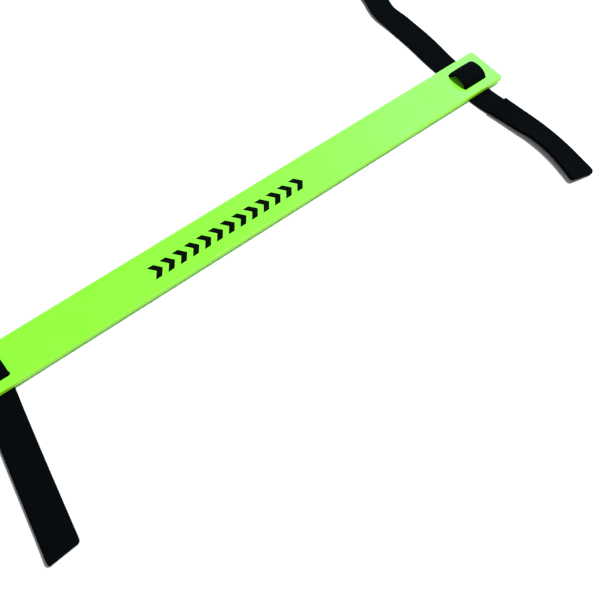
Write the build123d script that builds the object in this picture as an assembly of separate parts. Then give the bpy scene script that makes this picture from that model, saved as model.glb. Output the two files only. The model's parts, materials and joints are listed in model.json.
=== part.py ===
from build123d import *
import math
import os

# Flat agility ladder: moulded rungs threaded on two webbing straps, laid out on the ground.
# Origin: middle of the ladder on the ground. +X along the rungs, +Y along the ladder, +Z up.
# The near end is at -Y. The far end is the near end turned half way round about +Z.

# Ladder
rung_count = 4
rung_spacing = 380.0

# Rungs: flat moulded slats with two slots for the strap near each end
rung_length = 430.0
rung_width = 32.0
rung_thickness = 3.5
rung_corner_radius = 2.0
rung_edge_round = 0.5
strap_inset = 20.2
slot_pitch = 15.2
slot_side_clearance = 1.0
slot_end_clearance = 0.6
slot_corner_flat = 0.1

# Webbing, and how it stands over the bridge between two slots
webbing_width = 20.5
webbing_thickness = 1.6
seat_height = 1.4
running_gap = 0.4
loop_rise = 5.7
loop_spring = 0.4

# Tails beyond the end rungs: the left one lies flat and splayed, the right one bows and rolls up
hinge_offset = 12.0
fold_back_start = 17.0
layer_gap = 0.15
left_tail_length = 104.0
left_tail_splay = 10.6
splay_bend_radius = 30.0
right_tail_length = 97.0
right_tail_bow = 5.0
right_tail_roll = 20.0
right_tail_end_roll = 11.0
flat_after_stitching = 0.7
tail_roll_crest = 68.0

# Places that the right tail's curve passes, as shares of its length and of its bow
right_tail_shape = ((0.04, 0.02), (0.29, 0.42), (0.66, 1.0), (1.0, 0.24))
right_tail_end_direction = (-0.16, -1)

# Where that strap lies loose in the end bay: it drifts outwards and rolls up on its inner edge
loose_start = 54.0
loose_full = 80.0
loose_fall = 33.0
flat_before_fold = 26.0
loose_drift = 9.0
loose_first_drift = 2.0
loose_roll = 13.0

# Sewing
thread = 0.7
thread_proud = 0.35
stitch_inset = 2.6
stitch_box_length = 15.0
stitch_gap = 0.15

# Folding: odd folds bring the faces together over the loops, even ones the backs, strap on strap
face_fold_gap = 1.6
back_fold_gap = 1.0
section_gap = 0.3

# Print on each rung: a row of plain chevrons
print_centre_x = -19.0
print_centre_y = -1.75
print_height = 10.5
print_stroke = 4.7
print_lean = 4.0
print_pitch = 9.4
print_marks = 13
print_thickness = 0.12

# Steps in each stretch of shaped webbing
section_steps = 24
tail_steps = 12

# Worked out from the sizes above
rung_bottom = webbing_thickness + seat_height
rung_top = rung_bottom + rung_thickness
loop_top = rung_top + loop_rise
strap_x = rung_length / 2 - strap_inset
slot_width = webbing_thickness + 2 * slot_side_clearance
slot_length = webbing_width + 2 * slot_end_clearance
layer_pitch = webbing_thickness + layer_gap
tail_roll_start = fold_back_start + stitch_inset + stitch_box_length + flat_after_stitching
half_bay = rung_spacing / 2


def rung_y(number):
    return (number - (rung_count + 1) / 2) * rung_spacing


near_y = rung_y(1)
near_edge = near_y - rung_width / 2
bay_edge = near_y + rung_width / 2
loose_end = half_bay - rung_width / 2 - flat_before_fold


def smooth(t):
    """0 before t = 0, 1 after t = 1, with no corner at either end."""
    t = min(max(t, 0.0), 1.0)
    return t * t * (3 - 2 * t)


def rung(y):
    """Slat with rounded corners and edges, and two pairs of slots across which the strap runs."""
    with BuildPart() as slat:
        with BuildSketch(Plane.XY.offset(rung_bottom)):
            with Locations((0, y)):
                RectangleRounded(rung_length, rung_width, rung_corner_radius)
        extrude(amount=rung_thickness)
        faces = slat.faces().sort_by(Axis.Z)
        fillet(faces[0].edges() + faces[-1].edges(), rung_edge_round)
        with BuildSketch(Plane.XY.offset(rung_bottom)):
            for x in (-strap_x, strap_x):
                with Locations((x, y - slot_pitch / 2), (x, y + slot_pitch / 2)):
                    RectangleRounded(slot_length, slot_width, (slot_width - slot_corner_flat) / 2)
        extrude(amount=rung_thickness, mode=Mode.SUBTRACT)
    return slat.part


def rung_print(y):
    """Plain chevrons pointing along the rung, each a bent bar."""
    middle = y + print_centre_y
    foot, head = middle - print_height / 2, middle + print_height / 2
    bar, lean = print_stroke, print_lean
    with BuildPart() as marks:
        with BuildSketch(Plane.XY.offset(rung_top)):
            for i in range(print_marks):
                x = print_centre_x + (i - (print_marks - 1) / 2) * print_pitch - (lean + bar) / 2
                with BuildLine():
                    Polyline(
                        (x, foot), (x + bar, foot), (x + bar + lean, middle),
                        (x + bar, head), (x, head), (x + lean, middle), close=True,
                    )
                make_face()
        extrude(amount=print_thickness)
    return marks.part


def bridge_loop(x, y):
    """Webbing that comes up one slot, over the bridge and down the other: two legs and a half ellipse."""
    spring = rung_top + loop_spring
    foot = webbing_thickness + running_gap

    def arch(inset):
        half = slot_pitch / 2 + webbing_thickness / 2 - inset
        with BuildSketch(Plane.YZ.offset(x - webbing_width / 2)) as outline:
            with Locations((y, spring)):
                Ellipse(half, loop_top - inset - spring)
            with Locations((y, (foot + spring) / 2)):
                Rectangle(2 * half, spring - foot)
            with Locations((y, foot - loop_top)):
                Rectangle(4 * half, 2 * loop_top, mode=Mode.SUBTRACT)
        return outline.sketch

    return extrude(arch(0) - arch(webbing_thickness), amount=webbing_width)


def lie(path, s, roll):
    """Middle of the webbing's underside at length s, with its directions along, across and up.
    roll(y) is the lift of its +X edge in degrees, and the lower edge stays on the ground."""
    at, along = path @ (s / path.length), path % (s / path.length)
    angle = math.radians(roll(at.Y))
    level = Vector(-along.Y, along.X, 0).normalized()
    across = level * math.cos(angle) + Vector(0, 0, math.sin(angle))
    normal = Vector(0, 0, math.cos(angle)) - level * math.sin(angle)
    return Vector(at.X, at.Y, webbing_width / 2 * abs(math.sin(angle))), across, normal


def evenly(start, end, steps):
    """Lengths from start to end in equal steps, both included."""
    return [start + (end - start) * i / steps for i in range(steps + 1)]


def ribbon(path, stops, roll, layer=0):
    """Webbing along a plan curve that runs towards -Y, through the given lengths along it, in mm."""
    sections = []
    for s in stops:
        middle, across, normal = lie(path, s, roll)
        middle += normal * (webbing_thickness / 2 + layer * layer_pitch)
        frame = Plane(origin=middle, x_dir=across, z_dir=across.cross(normal))
        sections.append((frame * Rectangle(webbing_width, webbing_thickness)).face())
    return loft(sections, ruled=True)


def end_strap(side):
    """Plan curve of a strap's near end: from the middle of the first bay, under rung 1, to the tip."""
    if side == "left":
        splay = math.radians(left_tail_splay)
        bend_y = near_y - slot_pitch / 2
        tip_y = near_edge - left_tail_length * math.cos(splay)
        tip_x = -strap_x - (bend_y - tip_y) * math.tan(splay)
        corners = ((-strap_x, near_y + half_bay), (-strap_x, bend_y), (tip_x, tip_y))
        return FilletPolyline(*corners, radius=splay_bend_radius)
    drift_y = bay_edge + (loose_full + loose_end) / 2
    bay = [(strap_x, near_y + half_bay), (strap_x, bay_edge + loose_end)]
    bay += [(strap_x + loose_drift, drift_y), (strap_x + loose_first_drift, bay_edge + loose_full)]
    rest = [(strap_x, near_y)]
    for share, bow in right_tail_shape:
        rest.append((strap_x + right_tail_bow * bow, near_edge - right_tail_length * share))
    return Spline(*bay, *rest, tangents=[(0, -1), right_tail_end_direction])


def strap_roll(side):
    """How far the strap is rolled up at each y, in degrees: the left one lies flat."""
    if side == "left":
        return lambda y: 0.0

    def roll(y):
        bay, tail = y - bay_edge, near_edge - y
        if bay > 0:
            rise = smooth((bay - loose_start) / (loose_full - loose_start))
            return -loose_roll * rise * smooth((loose_end - bay) / loose_fall)
        rise = smooth((tail - tail_roll_start) / (tail_roll_crest - tail_roll_start))
        fall = smooth((tail - tail_roll_crest) / (right_tail_length - tail_roll_crest))
        return -rise * (right_tail_roll + (right_tail_end_roll - right_tail_roll) * fall)

    return roll


def length_at(path, y):
    """Length along a path that runs towards -Y at which it reaches y."""
    low, high = 0.0, path.length
    while high - low > 1e-7:
        middle = (low + high) / 2
        if (path @ (middle / path.length)).Y > y:
            low = middle
        else:
            high = middle
    return low


def hinge_length(path):
    return length_at(path, near_edge - hinge_offset)


def cut_length(path):
    """Length at which the folded-back end of the webbing is cut."""
    return length_at(path, near_edge - fold_back_start)


def end_section(side):
    """The strap from the fold line in the first bay to the line at which its tail bends up."""
    path = end_strap(side)
    stops = evenly(section_gap / 2, hinge_length(path) - section_gap / 2, section_steps)
    return ribbon(path, stops, strap_roll(side))


def fold_stops(path):
    """Lengths at which both layers of a tail are shaped alike, so that they never cross."""
    return evenly(cut_length(path), path.length, tail_steps)


def tail(side):
    path = end_strap(side)
    return ribbon(path, [hinge_length(path) + section_gap / 2, *fold_stops(path)], strap_roll(side))


def tail_fold(side):
    """The end of the webbing, folded back over the tail and sewn down as a flat loop for a peg."""
    path = end_strap(side)
    return ribbon(path, fold_stops(path), strap_roll(side), layer=1)


def tail_stitching(side):
    """Box and cross of thread through both layers, next to the cut end of the fold."""
    path = end_strap(side)
    first = cut_length(path) + stitch_inset
    half = webbing_width / 2 - stitch_inset
    corners = []
    for s in (first, first + stitch_box_length):
        middle, across, normal = lie(path, s, strap_roll(side))
        middle += normal * (layer_pitch + webbing_thickness + stitch_gap + thread_proud / 2)
        corners += [middle + across * half, middle - across * half]
    runs = []
    for a, b in ((0, 1), (2, 3), (0, 2), (1, 3), (0, 3), (1, 2)):
        span = corners[b] - corners[a]
        frame = Plane(origin=(corners[a] + corners[b]) * 0.5, x_dir=span, z_dir=normal)
        runs.append(frame * Box(span.length + thread, thread, thread_proud))
    return runs[0].fuse(*runs[1:])


def middle_section(x, y):
    """The straight strap of a section between two fold lines."""
    strip = Box(webbing_width, rung_spacing - section_gap, webbing_thickness)
    return Pos(x, y, webbing_thickness / 2) * strip


def turned(shape):
    """The same piece at the other end of the ladder."""
    return shape.rotate(Axis.Z, 180)


nodes = {}
for number in range(1, rung_count + 1):
    y = rung_y(number)
    nodes[f"rung_{number}"] = rung(y)
    nodes[f"rung_print_{number}"] = rung_print(y)
    for side, x in (("left", -strap_x), ("right", strap_x)):
        nodes[f"{side}_loop_{number}"] = bridge_loop(x, y)
        if 1 < number < rung_count:
            nodes[f"{side}_webbing_{number}"] = middle_section(x, y)

for side, opposite in (("left", "right"), ("right", "left")):
    nodes[f"{side}_webbing_1"] = end_section(side)
    nodes[f"{opposite}_webbing_{rung_count}"] = turned(end_section(side))
    for name, make in (("tail", tail), ("tail_fold", tail_fold), ("tail_stitching", tail_stitching)):
        nodes[f"near_{side}_{name}"] = make(side)
        nodes[f"far_{opposite}_{name}"] = turned(make(side))

os.makedirs("parts", exist_ok=True)
for name, shape in nodes.items():
    export_step(shape, f"parts/{name}.step")

# Where the joints are, for the record
print(len(nodes), "nodes")
print("odd folds at height", loop_top + face_fold_gap / 2, "and even ones at", -back_fold_gap / 2)
for side in ("left", "right"):
    path = end_strap(side)
    share = hinge_length(path) / path.length
    print("near", side, "tail bends at", path @ share, "running along", path % share)
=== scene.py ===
import json
import math

import bmesh
import bpy
import numpy as np
from mathutils import Matrix, Vector

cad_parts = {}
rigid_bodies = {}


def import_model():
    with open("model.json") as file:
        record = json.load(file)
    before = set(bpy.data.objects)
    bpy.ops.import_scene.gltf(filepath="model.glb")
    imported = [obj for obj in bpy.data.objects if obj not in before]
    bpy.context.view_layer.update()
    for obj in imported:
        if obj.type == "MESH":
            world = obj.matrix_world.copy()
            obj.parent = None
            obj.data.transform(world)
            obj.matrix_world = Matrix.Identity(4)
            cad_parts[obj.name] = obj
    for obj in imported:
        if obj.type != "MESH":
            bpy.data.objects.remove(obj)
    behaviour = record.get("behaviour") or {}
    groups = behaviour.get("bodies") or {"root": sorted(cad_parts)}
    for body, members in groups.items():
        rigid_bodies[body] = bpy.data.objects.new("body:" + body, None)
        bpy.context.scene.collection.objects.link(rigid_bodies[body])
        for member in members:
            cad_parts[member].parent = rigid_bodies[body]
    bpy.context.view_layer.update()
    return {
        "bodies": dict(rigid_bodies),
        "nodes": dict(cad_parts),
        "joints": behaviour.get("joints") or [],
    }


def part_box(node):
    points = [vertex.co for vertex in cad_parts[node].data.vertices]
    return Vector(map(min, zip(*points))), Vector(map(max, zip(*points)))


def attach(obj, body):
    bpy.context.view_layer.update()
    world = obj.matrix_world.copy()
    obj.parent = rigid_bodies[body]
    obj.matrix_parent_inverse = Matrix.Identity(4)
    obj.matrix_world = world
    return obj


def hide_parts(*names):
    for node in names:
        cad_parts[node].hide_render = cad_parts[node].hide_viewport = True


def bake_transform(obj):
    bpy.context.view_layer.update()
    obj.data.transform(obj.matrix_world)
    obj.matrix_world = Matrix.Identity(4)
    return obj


# Flat agility ladder: lime rungs on two black webbing straps, laid out on a pale floor.
# Lengths are in metres. +X runs along the rungs, +Y along the ladder, away from its near end.
# The far end is the near end turned half way round about the vertical.

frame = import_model()
mm = 0.001

rungCount = sum(name.startswith("section_") for name in frame["bodies"])
rungBox = {number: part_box(f"rung_{number}") for number in range(1, rungCount + 1)}
rungMiddle = {number: (box[0].y + box[1].y) / 2 for number, box in rungBox.items()}
rungTop = rungBox[1][1].z
rungHalf = (rungBox[1][1].y - rungBox[1][0].y) / 2
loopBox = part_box("right_loop_1")
strapX = (loopBox[0].x + loopBox[1].x) / 2
spacing = rungMiddle[2] - rungMiddle[1]
joints = {joint["name"]: joint for joint in frame["joints"]}
up = np.array([0.0, 0.0, 1.0])


# Small helpers

def smooth(t):
    # 3t^2 - 2t^3 between 0 and 1, flat outside
    t = np.clip(t, 0.0, 1.0)
    return t * t * (3 - 2 * t)


def through(x, knots):
    # Cubic Hermite curve through (place, value) knots, its slope at each the mean of its neighbours'
    at, values = np.array(sorted(knots), float).T
    slopes = np.gradient(values, at)
    i = np.clip(np.searchsorted(at, x, side="right") - 1, 0, len(at) - 2)
    gap = at[i + 1] - at[i]
    t = np.clip((x - at[i]) / gap, 0, 1)
    return (
        (2 * t**3 - 3 * t**2 + 1) * values[i]
        + (t**3 - 2 * t**2 + t) * gap * slopes[i]
        + (3 * t**2 - 2 * t**3) * values[i + 1]
        + (t**3 - t**2) * gap * slopes[i + 1]
    )


def unit(vectors):
    return vectors / np.linalg.norm(vectors, axis=-1, keepdims=True)


def lengths(points):
    # Length along a polyline at each of its points
    return np.concatenate([[0], np.cumsum(np.linalg.norm(np.diff(points, axis=0), axis=1))])


def newPiece(name, points, faces, uv=None, material=None, flatFaces=0):
    # A mesh from whole arrays. uv holds one pair for each point, and the last faces stay flat.
    mesh = bpy.data.meshes.new(name)
    mesh.from_pydata(points.tolist(), [], faces)
    if uv is not None:
        corner = np.zeros(len(mesh.loops), int)
        mesh.loops.foreach_get("vertex_index", corner)
        mesh.uv_layers.new(name="Cloth").data.foreach_set("uv", uv[corner].astype(np.float32).ravel())
    shade = np.ones(len(mesh.polygons), bool)
    shade[len(shade) - flatFaces:] = False
    mesh.polygons.foreach_set("use_smooth", shade)
    if material:
        mesh.materials.append(material)
    # All faces point outwards
    shape = bmesh.new()
    shape.from_mesh(mesh)
    bmesh.ops.recalc_face_normals(shape, faces=shape.faces)
    shape.to_mesh(mesh)
    shape.free()
    piece = bpy.data.objects.new(name, mesh)
    bpy.context.scene.collection.objects.link(piece)
    return piece


def turned(points):
    # Half a turn about the vertical through the middle of the ladder
    return np.asarray(points) * (-1, -1, 1)


def linear(hexColour):
    # sRGB hex to linear light
    parts = [int(hexColour[i:i + 2], 16) / 255 for i in (1, 3, 5)]
    return [c / 12.92 if c <= 0.04045 else ((c + 0.055) / 1.055) ** 2.4 for c in parts] + [1.0]


def addNode(tree, kind, settings=None, **inputs):
    # Adds a node. A setting is one of its own; an input is a plain value or another node's socket, and
    # is named by its label or, as in6, by its number.
    node = tree.nodes.new(kind)
    for key, value in (settings or {}).items():
        setattr(node, key, value)
    for key, value in inputs.items():
        numbered = key.startswith("in") and key[2:].isdigit()
        socket = node.inputs[int(key[2:]) if numbered else key.replace("_", " ")]
        if isinstance(value, bpy.types.NodeSocket):
            tree.links.new(value, socket)
        else:
            socket.default_value = value
    return node


def newMaterial(name):
    material = bpy.data.materials.new(name)
    material.use_nodes = True
    tree = material.node_tree
    return material, tree, tree.nodes["Principled BSDF"]


# Materials

def fluorescentPolypropylene():
    # Injection-moulded fluorescent polypropylene: satin gloss and a trace of grain. Its upright sides get a
    # yellower painted colour and a painted glow, which stand in for the light that fluorescent plastic
    # gives out at its edges
    material, tree, shader = newMaterial("fluorescent_polypropylene")
    place = addNode(tree, "ShaderNodeTexCoord").outputs["Object"]
    normal = addNode(tree, "ShaderNodeNewGeometry").outputs["Normal"]
    upward = addNode(tree, "ShaderNodeSeparateXYZ", Vector=normal).outputs["Z"]
    flatness = addNode(tree, "ShaderNodeMath", {"operation": "ABSOLUTE"}, in0=upward).outputs[0]
    # Upright sides, found from how far the normal leans from the vertical; they take the painted side
    # colour and glow
    paintedSideMask = addNode(
        tree, "ShaderNodeMapRange", {"clamp": True},
        Value=flatness, From_Min=0.25, From_Max=0.85, To_Min=1.0, To_Max=0.0,
    ).outputs[0]
    # Colour drifts slowly along the moulding, over about 90 mm
    cloud = addNode(tree, "ShaderNodeTexNoise", Vector=place, Scale=11.0, Detail=2.0, Roughness=0.5)
    face = addNode(
        tree, "ShaderNodeMix", {"data_type": "RGBA"},
        in0=cloud.outputs["Fac"], in6=linear("#82f92a"), in7=linear("#88fa30"),
    )
    # The upright sides get a darker, less blue base colour than the top: painted light and shade of the
    # sides
    colour = addNode(
        tree, "ShaderNodeMix", {"data_type": "RGBA"},
        in0=paintedSideMask, in6=face.outputs[2], in7=linear("#86d806"),
    )
    tree.links.new(colour.outputs[2], shader.inputs["Base Color"])
    # A faint green-yellow emission on the upright sides: a painted glow, though the rung is no lamp
    paintedGlow = addNode(
        tree, "ShaderNodeMix", {"data_type": "RGBA"},
        in0=paintedSideMask, in6=linear("#000000"), in7=linear("#243602"),
    )
    tree.links.new(paintedGlow.outputs[2], shader.inputs["Emission Color"])
    shader.inputs["Emission Strength"].default_value = 1.0
    # Mould grain 0.35 mm across, and a longer waviness of 14 mm
    grain = addNode(tree, "ShaderNodeTexNoise", Vector=place, Scale=2800.0, Detail=2.0)
    wave = addNode(tree, "ShaderNodeTexNoise", Vector=place, Scale=70.0, Detail=1.0)
    soft = addNode(tree, "ShaderNodeBump", Height=wave.outputs["Fac"], Strength=0.12, Distance=0.0006)
    bump = addNode(
        tree, "ShaderNodeBump",
        Height=grain.outputs["Fac"], Normal=soft.outputs[0], Strength=0.10, Distance=0.00005,
    )
    tree.links.new(bump.outputs[0], shader.inputs["Normal"])
    handled = addNode(tree, "ShaderNodeTexNoise", Vector=place, Scale=38.0, Detail=3.0)
    rough = addNode(
        tree, "ShaderNodeMapRange", {"clamp": True},
        Value=handled.outputs["Fac"], From_Min=0.3, From_Max=0.7, To_Min=0.34, To_Max=0.44,
    )
    tree.links.new(rough.outputs[0], shader.inputs["Roughness"])
    shader.inputs["IOR"].default_value = 1.49
    return material


def screenInk():
    # Screen-printed black ink: matt, slightly uneven, with a fine stipple
    material, tree, shader = newMaterial("screen_printed_ink")
    place = addNode(tree, "ShaderNodeTexCoord").outputs["Object"]
    stipple = addNode(tree, "ShaderNodeTexNoise", Vector=place, Scale=1500.0, Detail=2.0)
    colour = addNode(
        tree, "ShaderNodeMix", {"data_type": "RGBA"},
        in0=stipple.outputs["Fac"], in6=linear("#020302"), in7=linear("#060905"),
    )
    tree.links.new(colour.outputs[2], shader.inputs["Base Color"])
    bump = addNode(tree, "ShaderNodeBump", Height=stipple.outputs["Fac"], Strength=0.2, Distance=0.00004)
    tree.links.new(bump.outputs[0], shader.inputs["Normal"])
    shader.inputs["Roughness"].default_value = 0.7
    shader.inputs["Specular IOR Level"].default_value = 0.04
    return material


def wovenWebbing():
    # Black polypropylene webbing in a herringbone weave: columns 2.3 mm wide with threads 0.9 mm apart
    # that slant up one column and down the next. It is drawn from the Cloth map, which is in millimetres
    # across and along the strap. The yarn is soft and very dark.
    material, tree, shader = newMaterial("black_polypropylene_webbing")
    columnWide, slope, threadPitch = 2.3, 0.55, 0.9
    cloth = addNode(tree, "ShaderNodeUVMap", {"uv_map": "Cloth"}).outputs[0]
    split = addNode(tree, "ShaderNodeSeparateXYZ", Vector=cloth)
    across, along = split.outputs["X"], split.outputs["Y"]

    def sums(kind, first, second=0.0):
        return addNode(tree, "ShaderNodeMath", {"operation": kind}, in0=first, in1=second).outputs[0]

    # Height of the weave: the sine of the place between two threads, times the square root of the
    # distance from the column's edge
    column = sums("PINGPONG", across, columnWide)
    slant = sums("ADD", along, sums("MULTIPLY", column, slope))
    thread = sums("PINGPONG", slant, threadPitch / 2)
    rope = sums("SINE", sums("MULTIPLY", thread, math.pi / threadPitch))
    ribEdge = sums("PINGPONG", column, columnWide / 2)
    rib = sums("POWER", sums("DIVIDE", ribEdge, columnWide / 2), 0.5)
    weave = sums("MULTIPLY", rope, rib)
    fuzz = addNode(tree, "ShaderNodeTexNoise", Vector=cloth, Scale=2.2, Detail=3.0)
    height = sums("ADD", weave, sums("MULTIPLY", fuzz.outputs["Fac"], 0.35))
    bump = addNode(tree, "ShaderNodeBump", Height=height, Strength=0.75, Distance=0.00022)
    tree.links.new(bump.outputs[0], shader.inputs["Normal"])
    worn = addNode(tree, "ShaderNodeTexNoise", Vector=cloth, Scale=0.06, Detail=2.0)
    # Colour: lighter on the thread crests and darker in the grooves between them, a painted shade of the
    # weave, and varying slowly with a noise for wear
    shade = sums("ADD", sums("MULTIPLY", weave, 0.65), sums("MULTIPLY", worn.outputs["Fac"], 0.35))
    colour = addNode(
        tree, "ShaderNodeMix", {"data_type": "RGBA"},
        in0=shade, in6=linear("#010304"), in7=linear("#04080d"),
    )
    tree.links.new(colour.outputs[2], shader.inputs["Base Color"])
    shader.inputs["Roughness"].default_value = 0.75
    shader.inputs["Specular IOR Level"].default_value = 0.03
    return material


def bondedThread():
    # Black bonded polyester thread: twisted plies 0.3 mm apart, a little glossier than the webbing
    material, tree, shader = newMaterial("bonded_polyester_thread")
    place = addNode(tree, "ShaderNodeTexCoord").outputs["Object"]
    plies = addNode(
        tree, "ShaderNodeTexWave", {"wave_type": "BANDS", "bands_direction": "DIAGONAL"},
        Vector=place, Scale=520.0, Distortion=0.6, Detail=1.0,
    )
    # Colour is darker in the grooves between the plies: painted shade
    colour = addNode(
        tree, "ShaderNodeMix", {"data_type": "RGBA"},
        in0=plies.outputs["Fac"], in6=linear("#020305"), in7=linear("#06090b"),
    )
    tree.links.new(colour.outputs[2], shader.inputs["Base Color"])
    bump = addNode(tree, "ShaderNodeBump", Height=plies.outputs["Fac"], Strength=0.4, Distance=0.0001)
    tree.links.new(bump.outputs[0], shader.inputs["Normal"])
    shader.inputs["Roughness"].default_value = 0.7
    shader.inputs["Specular IOR Level"].default_value = 0.03
    return material


plastic = fluorescentPolypropylene()
ink = screenInk()
cloth = wovenWebbing()
threadFinish = bondedThread()
print("materials made")


# Webbing, as it comes off the roll
webbing = {
    "width": loopBox[1].x - loopBox[0].x,
    "thickness": 1.6 * mm,
    "layerPitch": 1.75 * mm,  # from layer to layer where two lie on each other
    "ribs": 9,
    "pointsPerRib": 4,
    "ribHeight": 0.05 * mm,
    "edgePoints": 7,
    "step": 1.5 * mm,  # between rings along the strap
}
halfWide = webbing["width"] / 2
halfThick = webbing["thickness"] / 2


def webbingSection():
    # Closed outline of the webbing seen from its end: two faces with cosine ribs, joined by half-round
    # edges. Gives the distance across and the height of each point, going once round.
    flat = halfWide - halfThick
    across = np.linspace(-1, 1, webbing["ribs"] * webbing["pointsPerRib"] + 1) * flat
    ribs = webbing["ribHeight"] * np.cos(math.pi * webbing["ribs"] * across / flat)
    turn = np.linspace(-math.pi / 2, math.pi / 2, webbing["edgePoints"] + 2)[1:-1]
    edgeAcross = flat + halfThick * np.cos(turn)
    edgeHeight = halfThick * np.sin(turn)
    u = np.concatenate([across[::-1], -edgeAcross, across, edgeAcross])
    w = np.concatenate([halfThick + ribs, -edgeHeight, -halfThick - ribs, edgeHeight])
    return u, w


def ribbon(name, middle, across, normal, narrow=1.0, cup=0.0, thick=1.0, shear=0.0):
    # Carries the section along a line: point = middle + across * u + normal * w + shear * u.
    # narrow and thick scale the width and the thickness of each ring, and cup lifts its middle by that
    # much as a parabola.
    u, w = webbingSection()
    rings, around = len(middle), len(u)
    narrow, cup, thick = (np.broadcast_to(value, rings)[:, None] for value in (narrow, cup, thick))
    rise = w[None, :] * thick + cup * (1 - (u / u.max()) ** 2)[None, :]
    wide = u[None, :] * narrow
    points = (
        middle[:, None, :]
        + (across + shear)[:, None, :] * wide[..., None]
        + normal[:, None, :] * rise[..., None]
    ).reshape(-1, 3)
    length = lengths(middle)
    uv = np.stack([
        np.broadcast_to(u / mm, (rings, around)),
        np.broadcast_to((length / mm)[:, None], (rings, around)),
    ], axis=-1).reshape(-1, 2)
    i, j = np.meshgrid(np.arange(rings - 1), np.arange(around), indexing="ij")
    k = (j + 1) % around
    corners = [i * around + j, i * around + k, (i + 1) * around + k, (i + 1) * around + j]
    side = np.stack(corners, -1).reshape(-1, 4)
    ends = [list(range(around)), list(range((rings - 1) * around, rings * around))]
    return newPiece(name, points, side.tolist() + ends, uv, cloth, flatFaces=2)


# How the straps lie. Places are in millimetres from the middle of an end rung, positive into the ladder.
# drift is the middle's offset to the right in millimetres and roll the lift of the left edge in degrees.
# tipSlant is how far askew the tip is cut, along for across, and slotNarrow the share of its width that
# the strap loses by a slot.
# The slack strap is the near right one and, turned round, the far left one.
slackStrap = {
    "drift": (
        (380, 0.0), (350, -0.6), (300, -1.6), (245, 0.9), (190, 0.0), (160, 2.5), (130, 9.7), (106, 5.0),
        (92, 0.9), (75, 1.1), (50, 0.8), (25, -1.0), (0, -1.0), (-20, -1.0), (-34, 0.6), (-50, 2.4),
        (-67, 4.1), (-83, 4.1), (-95, 3.0), (-106, 1.2), (-117, -1.0),
    ),
    "roll": (
        (380, 0), (200, 0), (166, 0), (132, 6), (110, 5.5), (92, 3.5), (78, 1), (66, 0), (56, 0), (0, 0),
        (-13.5, 0), (-16, 0), (-30, 2), (-42, 4.5), (-59, 7), (-67, 9.5), (-83, 10.5), (-95, 9.5),
        (-117, 6),
    ),
    "tipSlant": 0.0,
    "slotNarrow": 0.05,
}
flatStrap = {
    "drift": (
        (380, 0.0), (330, 1.1), (260, -0.9), (190, 0.0), (140, 1.2), (80, -0.7), (25, 0.2), (0, 0.0),
        (-7, -0.2), (-18, -2.1), (-30, -4.6), (-60, -10.4), (-90, -15.9), (-122, -21.7),
    ),
    "roll": ((380, 0), (-122, 0)),
    "tipSlant": -0.25,
    "slotNarrow": 0.02,
}
middleStrap = {
    "drift": ((380, 0.0), (330, -0.9), (270, 1.3), (190, 0.2), (120, -1.2), (50, 0.8), (0, 0.0)),
    "roll": ((380, 0), (0, 0)),
    "slotNarrow": 0.05,
}
lying = {
    "samplesPerMm": 4,
    "slotFrom": 18 * mm,  # the narrowing by a slot is whole up to here, and gone at slotTo
    "slotTo": 44 * mm,
    "flatTo": 66 * mm,  # the strap is level wherever a rung slides
    "foldFlat": 14 * mm,  # and this near the fold line, and free of it at twice as far
    "lift": 0.5 * mm,
    "liftEvery": 118 * mm,
    "liftFades": 20 * mm,
    "fullRoll": math.sin(math.radians(10)),  # sag and rollNarrow are for this roll, and go with its sine
    "sag": 0.5 * mm,
    "rollNarrow": 0.155,
}


def lieDown(strap, first, last, crowd=None):
    # The strap between two places, in mm from the rung: its middle line, x = drift(y), and the directions
    # across it and out of its upper face. The middle is raised by half the width times the sine of the
    # roll, so that the lower edge stays on the floor. crowd holds places where the rings stand closer.
    y = np.linspace(first, last, lying["samplesPerMm"] * abs(int(last - first)) + 1)
    line = np.stack([through(y, strap["drift"]) * mm, y * mm, 0 * y], -1)
    length = lengths(line)
    rings = int(round(length[-1] / webbing["step"])) + 1
    at = np.linspace(0, length[-1], rings)
    if crowd is not None:
        close = np.interp(crowd, y, length)
        clear = webbing["step"] / 2
        at = np.concatenate([at[at < close[0] - clear], close, at[at > close[-1] + clear]])
    place = np.stack([np.interp(at, length, line[:, axis]) for axis in range(3)], -1)
    along = unit(np.gradient(place, axis=0))
    if first < last:
        along = -along
    level = np.stack([-along[:, 1], along[:, 0], 0 * at], -1)
    angle = np.radians(through(place[:, 1] / mm, strap["roll"]))[:, None]
    across = level * np.cos(angle) - up * np.sin(angle)
    normal = up * np.cos(angle) + level * np.sin(angle)
    raised = halfWide * np.abs(np.sin(angle))
    return place + up * raised + normal * halfThick, across, normal, place[:, 1], angle[:, 0]


def slotShape(distance):
    # 1 beside a rung's slots, 0 where the strap has its full width again
    return 1 - smooth((np.abs(distance) - lying["slotFrom"]) / (lying["slotTo"] - lying["slotFrom"]))


# How far either side of the fold line the strap's rings stand close, for its turn there when the loops or
# the backs come together, and how many rings stand in that stretch
foldReach = {"overLoops": 5 * mm, "backs": 4 * mm, "rings": 41}


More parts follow.
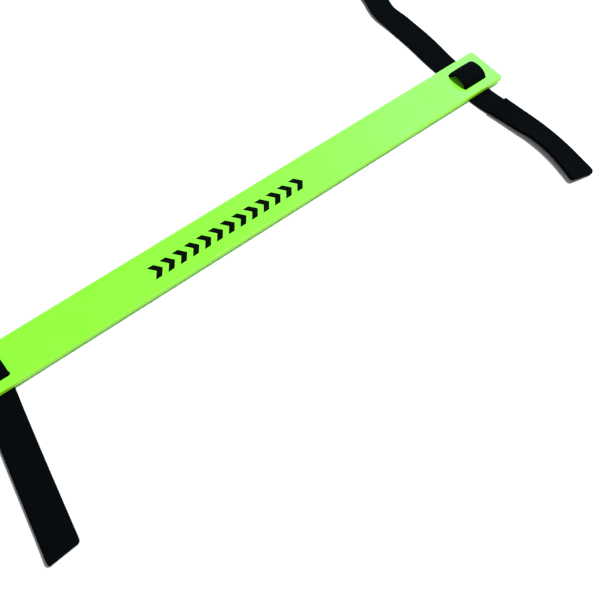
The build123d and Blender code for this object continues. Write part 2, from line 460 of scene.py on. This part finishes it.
def bay(side, number):
    # The strap from one rung's middle to the next one's, with its rings close together about the fold line
    # between them
    flip = number == rungCount - 1
    onRight = (side == "right") != flip  # before the far end is turned round
    strap = middleStrap
    if number == 1 or flip:
        strap = slackStrap if onRight else flatStrap
    fold = joints[f"fold_{number}"]["pos_m"]
    reach = foldReach["overLoops"] if fold[2] > 0 else foldReach["backs"]
    turn = (spacing / 2 + reach * np.linspace(-1, 1, foldReach["rings"])) / mm
    middle, across, normal, y, angle = lieDown(strap, 0, spacing / mm, turn)
    near = slotShape(y) + slotShape(spacing - y)
    # Webbing never lies quite flat: it rises by a raised cosine between where it touches
    wave = (1 - np.cos(2 * math.pi * y / lying["liftEvery"])) / 2
    fromRung = np.minimum(y, spacing - y) - lying["flatTo"]
    fromFold = np.abs(y - spacing / 2) - lying["foldFlat"]
    calm = smooth(fromRung / lying["liftFades"]) * smooth(fromFold / lying["foldFlat"])
    middle = middle + up * (lying["lift"] * wave * calm)[:, None]
    # A rolled stretch sags a little between its edges
    rolled = np.sin(angle) / lying["fullRoll"]
    cup = -lying["sag"] * rolled
    shift = np.array([strapX if onRight else -strapX, rungMiddle[1 if flip else number], 0])
    middle = middle + shift
    if flip:
        middle, across, normal = turned(middle), turned(across), turned(normal)
    piece = ribbon(
        f"{side}_strap_bay_{number}", middle, across, normal,
        narrow=1 - strap["slotNarrow"] * near - lying["rollNarrow"] * rolled, cup=cup,
    )
    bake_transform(piece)
    stands = [f"{side}_webbing_{number}"]
    if flip:
        stands.append(f"{side}_webbing_{number + 1}")
    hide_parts(*stands)


for number in range(1, rungCount):
    for side in ("left", "right"):
        bay(side, number)
print("strap bays laid")


# Tails: the end of each strap, folded back on itself and sewn down
tail = {
    "slackLength": 98.2 * mm,  # beyond the rung's edge
    "flatLength": 104 * mm,
    "cutAt": 14.5 * mm,  # where the folded end stops, from the rung's edge
    "bendBefore": 8 * mm,  # the tail bends from this far inside its hinge line
    "bendAfter": 2.5 * mm,  # to this far outside it
    "puff": 0.7 * mm,  # how much wider the turn stands than two layers, fading with distance from it
    "puffFades": 8 * mm,
    "turnRings": 14,
    "cornerRound": 2.6 * mm,
    "slantFrom": 45 * mm,
    "sealed": 1.12,  # the cut end is melted, and a little thicker
}
stitching = {
    "inset": 2.6 * mm,
    "boxLength": 15 * mm,
    "pitch": 3.0 * mm,
    "length": 2.75 * mm,
    "halfWidth": 0.36 * mm,
    "height": 0.34 * mm,
    "clear": 0.02 * mm,  # from the cloth up to the thread's middle
    "points": 7,
    "around": 8,
    "firstPoint": 0.02,  # the outermost points, as a share of the length
    "blunt": 0.6,  # below 1 makes a stitch's ends rounder
}


def tailLayers(strap, length):
    # The lower layer runs out from the rung, turns over on itself in a half circle and comes back on top:
    # turn = end + r (along sin a + normal (1 - cos a)), with the face turning as it goes
    turnHalf = (webbing["layerPitch"] + tail["puff"]) / 2
    stop = -(rungHalf + length - turnHalf - halfThick) / mm
    middle, across, normal, y, angle = lieDown(strap, 0, stop)
    along = unit(np.gradient(middle, axis=0))
    far = lengths(middle)
    left = far[-1] - far
    gap = webbing["layerPitch"] + tail["puff"] * np.exp(-((left / tail["puffFades"]) ** 2))
    back = np.flatnonzero(-y - rungHalf >= tail["cutAt"])[::-1]
    a = np.linspace(0, math.pi, tail["turnRings"] + 2)[1:-1, None]
    n, t, c = normal[-1], along[-1], across[-1]
    r = gap[-1] / 2
    bend = middle[-1] + r * (t * np.sin(a) + n * (1 - np.cos(a)))
    points = np.concatenate([middle, bend, middle[back] + normal[back] * gap[back, None]])
    faces = np.concatenate([normal, n * np.cos(a) - t * np.sin(a), -normal[back]])
    sides = np.concatenate([across, np.broadcast_to(c, bend.shape), across[back]])
    outward = np.concatenate([left, -r * np.sin(a[:, 0]), left[back]])
    reach = outward + r + halfThick
    # The tip's corners are rounded: each side steps in by c - sqrt(c^2 - depth^2)
    inside = np.clip(tail["cornerRound"] - reach, 0, tail["cornerRound"])
    rounded = tail["cornerRound"] - np.sqrt(tail["cornerRound"] ** 2 - inside**2)
    slots = slotShape(np.concatenate([y, np.full(len(a), y[-1]), y[back]]))
    under = np.arange(len(points)) < len(middle)
    tilt = np.concatenate([angle, np.full(len(a), angle[-1]), angle[back]])
    rolled = np.sin(tilt) / lying["fullRoll"]
    narrow = 1 - rounded / halfWide - strap["slotNarrow"] * slots * under - lying["rollNarrow"] * rolled
    sign = np.concatenate([np.ones(len(middle)), np.cos(a[:, 0]), -np.ones(len(back))])
    cup = -sign * lying["sag"] * rolled
    thick = np.ones(len(points))
    thick[-2:] = tail["sealed"]
    # The end is cut a little askew, so both layers lean outward along the lower one
    heading = np.concatenate([along, np.broadcast_to(t, bend.shape), along[back]])
    shear = heading * (strap["tipSlant"] * smooth(1 - outward / tail["slantFrom"]))[:, None]
    return points, sides, faces, narrow, cup, thick, shear, (middle, across, normal, y, gap)


def makeTail(end, side):
    flip = end == "far"
    onRight = (side == "right") != flip
    strap = slackStrap if onRight else flatStrap
    length = tail["slackLength"] if onRight else tail["flatLength"]
    points, sides, faces, narrow, cup, thick, shear, lower = tailLayers(strap, length)
    shift = np.array([strapX if onRight else -strapX, rungMiddle[1], 0])
    points = points + shift
    place = turned if flip else np.asarray
    name = f"{end}_{side}_tail"
    piece = ribbon(
        f"{end}_{side}_tail_webbing", place(points), place(sides), place(faces),
        narrow=narrow, cup=cup, thick=thick, shear=place(shear),
    )
    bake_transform(piece)
    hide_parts(name, f"{name}_fold")
    makeStitches(name, lower, shift, place)


def makeStitches(name, lower, shift, place):
    # A box and a cross of lock stitches through both layers. Each stitch is a half-sunk bead:
    # centre + ahead t + aside w cos a + out h sin a, with w and h falling to its ends as a blunt sine.
    middle, across, normal, y, gap = lower
    far = lengths(middle)
    first = np.interp(tail["cutAt"] + rungHalf, -y, far) + stitching["inset"]
    last = first + stitching["boxLength"]
    half = halfWide - stitching["inset"]
    corners = {"a": (first, half), "b": (first, -half), "c": (last, half), "d": (last, -half)}
    starts, stops = [], []
    for run in ("ab", "bd", "dc", "ca", "ad", "bc"):
        p, q = np.array(corners[run[0]]), np.array(corners[run[1]])
        count = int(round(np.linalg.norm(q - p) / stitching["pitch"]))
        share = np.arange(count)[:, None] / count
        starts.append(p + (q - p) * share)
        stops.append(p + (q - p) * (share + 1 / count))
    starts, stops = np.concatenate(starts), np.concatenate(stops)
    t = np.linspace(stitching["firstPoint"], 1 - stitching["firstPoint"], stitching["points"])
    a = np.linspace(0, 2 * math.pi, stitching["around"], endpoint=False)
    swell = np.sin(math.pi * t) ** stitching["blunt"]
    run = stops - starts
    size = np.linalg.norm(run, axis=1, keepdims=True)
    ahead = run / size
    aside = np.stack([-ahead[:, 1], ahead[:, 0]], -1)
    centre = (starts + stops) / 2
    forward = ((t - 0.5) * stitching["length"])[:, None, None]
    sideways = (stitching["halfWidth"] * swell[:, None] * np.cos(a))[..., None]
    flatPlace = (
        centre[:, None, None, :]
        + ahead[:, None, None, :] * forward
        + aside[:, None, None, :] * sideways
    )
    height = stitching["height"] * swell[:, None] * np.sin(a)
    s, u = flatPlace[..., 0], flatPlace[..., 1]

    def follow(values):
        return np.stack([np.interp(s, far, values[:, axis]) for axis in range(3)], -1)

    out = follow(normal)
    top = np.interp(s, far, gap) + halfThick + stitching["clear"]
    points = follow(middle) + follow(across) * u[..., None] + out * (top + height[None])[..., None]
    points = place(points.reshape(-1, 3) + shift)
    n = stitching["around"]
    per = stitching["points"] * n
    i, j = np.meshgrid(np.arange(stitching["points"] - 1), np.arange(n), indexing="ij")
    k = (j + 1) % n
    quad = np.stack([i * n + j, i * n + k, (i + 1) * n + k, (i + 1) * n + j], -1).reshape(-1, 4)
    offset = np.arange(len(starts)) * per
    quads = (quad[None] + offset[:, None, None]).reshape(-1, 4)
    caps = (np.array([np.arange(n), np.arange(n) + per - n])[None] + offset[:, None, None]).reshape(-1, n)
    faces = quads.tolist() + caps.tolist()
    piece = newPiece(f"{name}_stitches", points, faces, material=threadFinish)
    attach(piece, name)
    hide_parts(f"{name}_stitching")


for end in ("near", "far"):
    for side in ("left", "right"):
        makeTail(end, side)
print("tails folded and sewn")


# Loops: the webbing that comes up one slot of a rung, over its bridge and down the other
loop = {
    "halfSpan": 7.9 * mm,
    "spring": 0.4 * mm,  # from the rung's top up to where the ellipse starts
    "footTurn": 1.7 * mm,
    "footRun": 3.0 * mm,
    "footGap": 0.1 * mm,
    "footThin": 0.55,  # shares of the webbing's thickness and width
    "footNarrow": 0.80,
    "bendPoints": 40,
    "straightPoints": 12,
    "step": 0.45 * mm,
    "crown": 0.25 * mm,  # the cloth's middle stands this much out over the bridge
    "crownFades": 2 * mm,
}
# How each loop differs: its rise above the CAD one's, and its lean along the ladder, in millimetres
loopChange = {
    ("left", 1): (0.0, 0.0), ("right", 1): (0.0, 0.0),
    ("left", 2): (-0.5, 0.4), ("right", 2): (-0.2, -0.5),
    ("left", 3): (-0.3, -0.3), ("right", 3): (-0.6, 0.3),
    ("left", 4): (-0.1, 0.5), ("right", 4): (-0.4, -0.2),
}


def makeLoop(side, number):
    # A short level foot on top of the strap, up round a quarter circle, a straight leg, half an ellipse
    # over the bridge, and the same down again
    more, skew = loopChange[side, number]
    span, turn = loop["halfSpan"], loop["footTurn"]
    spring = rungTop + loop["spring"]
    crown = loopBox[1].z - halfThick - spring + more * mm
    q = np.linspace(0, math.pi / 2, loop["bendPoints"])
    count = loop["straightPoints"]
    base = webbing["thickness"] + loop["footGap"] + halfThick * loop["footThin"]
    inward = np.linspace(-span - turn - loop["footRun"], -span - turn, count)
    upward = np.linspace(base + turn, spring, count)
    foot = np.stack([inward, np.full(count, base)], -1)
    bend = np.stack([-span - turn + turn * np.sin(q), base + turn - turn * np.cos(q)], -1)
    leg = np.stack([np.full(count, -span), upward], -1)
    arch = np.stack([-span * np.cos(q), spring + crown * np.sin(q)], -1)
    half = np.concatenate([foot[:-1], bend[:-1], leg[:-1], arch])
    line = np.concatenate([half, (half * (-1, 1))[-2::-1]])
    # It leans by the square of its height over the bridge
    line[:, 0] += skew * mm * np.clip((line[:, 1] - spring) / crown, 0, 1) ** 2
    length = lengths(line)
    at = np.linspace(0, length[-1], int(length[-1] / loop["step"]))
    y, z = (np.interp(at, length, line[:, axis]) for axis in (0, 1))
    x = strapX if side == "right" else -strapX
    middle = np.stack([np.full_like(y, x), rungMiddle[number] + y, z], -1)
    along = unit(np.gradient(middle, axis=0))
    normal = np.stack([0 * y, -along[:, 2], along[:, 1]], -1)
    across = np.broadcast_to(np.array([1.0, 0, 0]), middle.shape)
    onStrap = smooth((np.abs(y) - span) / turn) * (z < rungTop / 2)
    overBridge = smooth((z - rungTop) / loop["crownFades"])
    piece = ribbon(
        f"{side}_bridge_loop_{number}", middle, across, normal,
        narrow=1 - (1 - loop["footNarrow"]) * onStrap,
        thick=1 - (1 - loop["footThin"]) * onStrap,
        cup=loop["crown"] * overBridge,
    )
    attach(piece, f"rung_{number}_set")
    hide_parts(f"{side}_loop_{number}")


for number in range(1, rungCount + 1):
    for side in ("left", "right"):
        makeLoop(side, number)
print("loops threaded")

# The moulded rungs and their print are the CAD ones
for name, node in frame["nodes"].items():
    if name.startswith("rung_"):
        node.data.materials.clear()
        node.data.materials.append(ink if "print" in name else plastic)
print("rungs coloured")

# Camera: half a metre up, beyond the near left-hand corner, looking down along the first rung
view = {
    "fromRung": (-225.2, -326.4, 526.4),  # millimetres from the first rung's middle, on the floor
    "heading": 50.64,  # degrees
    "down": 57.91,
    "roll": 0.93,
    "lens": 59.6,
    "sensor": 36,
    "nearest": 0.01,  # metres, where it begins to see
}


def makeCamera():
    data = bpy.data.cameras.new("camera")
    data.lens = view["lens"]
    data.sensor_width = view["sensor"]
    data.dof.use_dof = False
    data.clip_start = view["nearest"]
    camera = bpy.data.objects.new("camera", data)
    bpy.context.scene.collection.objects.link(camera)
    heading, down, roll = (math.radians(view[key]) for key in ("heading", "down", "roll"))
    look = Vector((math.cos(down) * math.cos(heading), math.cos(down) * math.sin(heading), -math.sin(down)))
    right = look.cross(Vector((0, 0, 1))).normalized()
    above = right.cross(look)
    rolledRight = right * math.cos(roll) + above * math.sin(roll)
    rolledUp = above * math.cos(roll) - right * math.sin(roll)
    turn = Matrix((rolledRight, rolledUp, -look)).transposed().to_4x4()
    place = Vector(view["fromRung"]) * mm + Vector((0, rungMiddle[1], 0))
    camera.matrix_world = Matrix.Translation(place) @ turn
    bpy.context.scene.camera = camera


makeCamera()

# Floor and light: a key high on the right and a little in front, a weak cool softbox beyond the
# right-hand end that pales the rungs there, and a low front fill for their near edges
studio = {
    "floorSize": 14.0,
    "floorColour": "#f7f7f7",
    "worldColour": "#ffffff",
    "worldStrength": 0.26,
}
lights = {  # metres from the first rung's middle, and watts
    "key": {"place": (1.60, -0.84, 4.10), "size": 0.75, "power": 212.0, "colour": "#ffffff"},
    "softbox": {"place": (1.20, 0.80, 1.20), "size": 0.6, "power": 10.0, "colour": "#a8e4ff"},
    "frontFill": {"place": (-0.30, -3.20, 0.84), "size": 1.6, "power": 14.0, "colour": "#ffffff"},
}


def makeStudio():
    half = studio["floorSize"] / 2
    corners = np.array([(-half, -half, 0), (half, -half, 0), (half, half, 0), (-half, half, 0)], float)
    floor = newPiece("floor", corners, [[0, 1, 2, 3]])
    material, tree, shader = newMaterial("pale_paper_floor")
    shader.inputs["Base Color"].default_value = linear(studio["floorColour"])
    shader.inputs["Roughness"].default_value = 0.9
    shader.inputs["Specular IOR Level"].default_value = 0.1
    floor.data.materials.append(material)
    world = bpy.data.worlds.new("studio")
    bpy.context.scene.world = world
    world.use_nodes = True
    background = world.node_tree.nodes["Background"]
    background.inputs["Color"].default_value = linear(studio["worldColour"])
    background.inputs["Strength"].default_value = studio["worldStrength"]
    aim = Vector((0, rungMiddle[1], 0))
    # Each light is a disc facing the first rung
    for name, light in lights.items():
        data = bpy.data.lights.new(name, "AREA")
        data.shape = "DISK"
        data.size = light["size"]
        data.energy = light["power"]
        data.color = linear(light["colour"])[:3]
        lamp = bpy.data.objects.new(name, data)
        bpy.context.scene.collection.objects.link(lamp)
        lamp.location = aim + Vector(light["place"])
        lamp.rotation_euler = (aim - lamp.location).to_track_quat("-Z", "Y").to_euler()


makeStudio()
bpy.context.scene.view_settings.view_transform = "Standard"
print("camera and lights set")
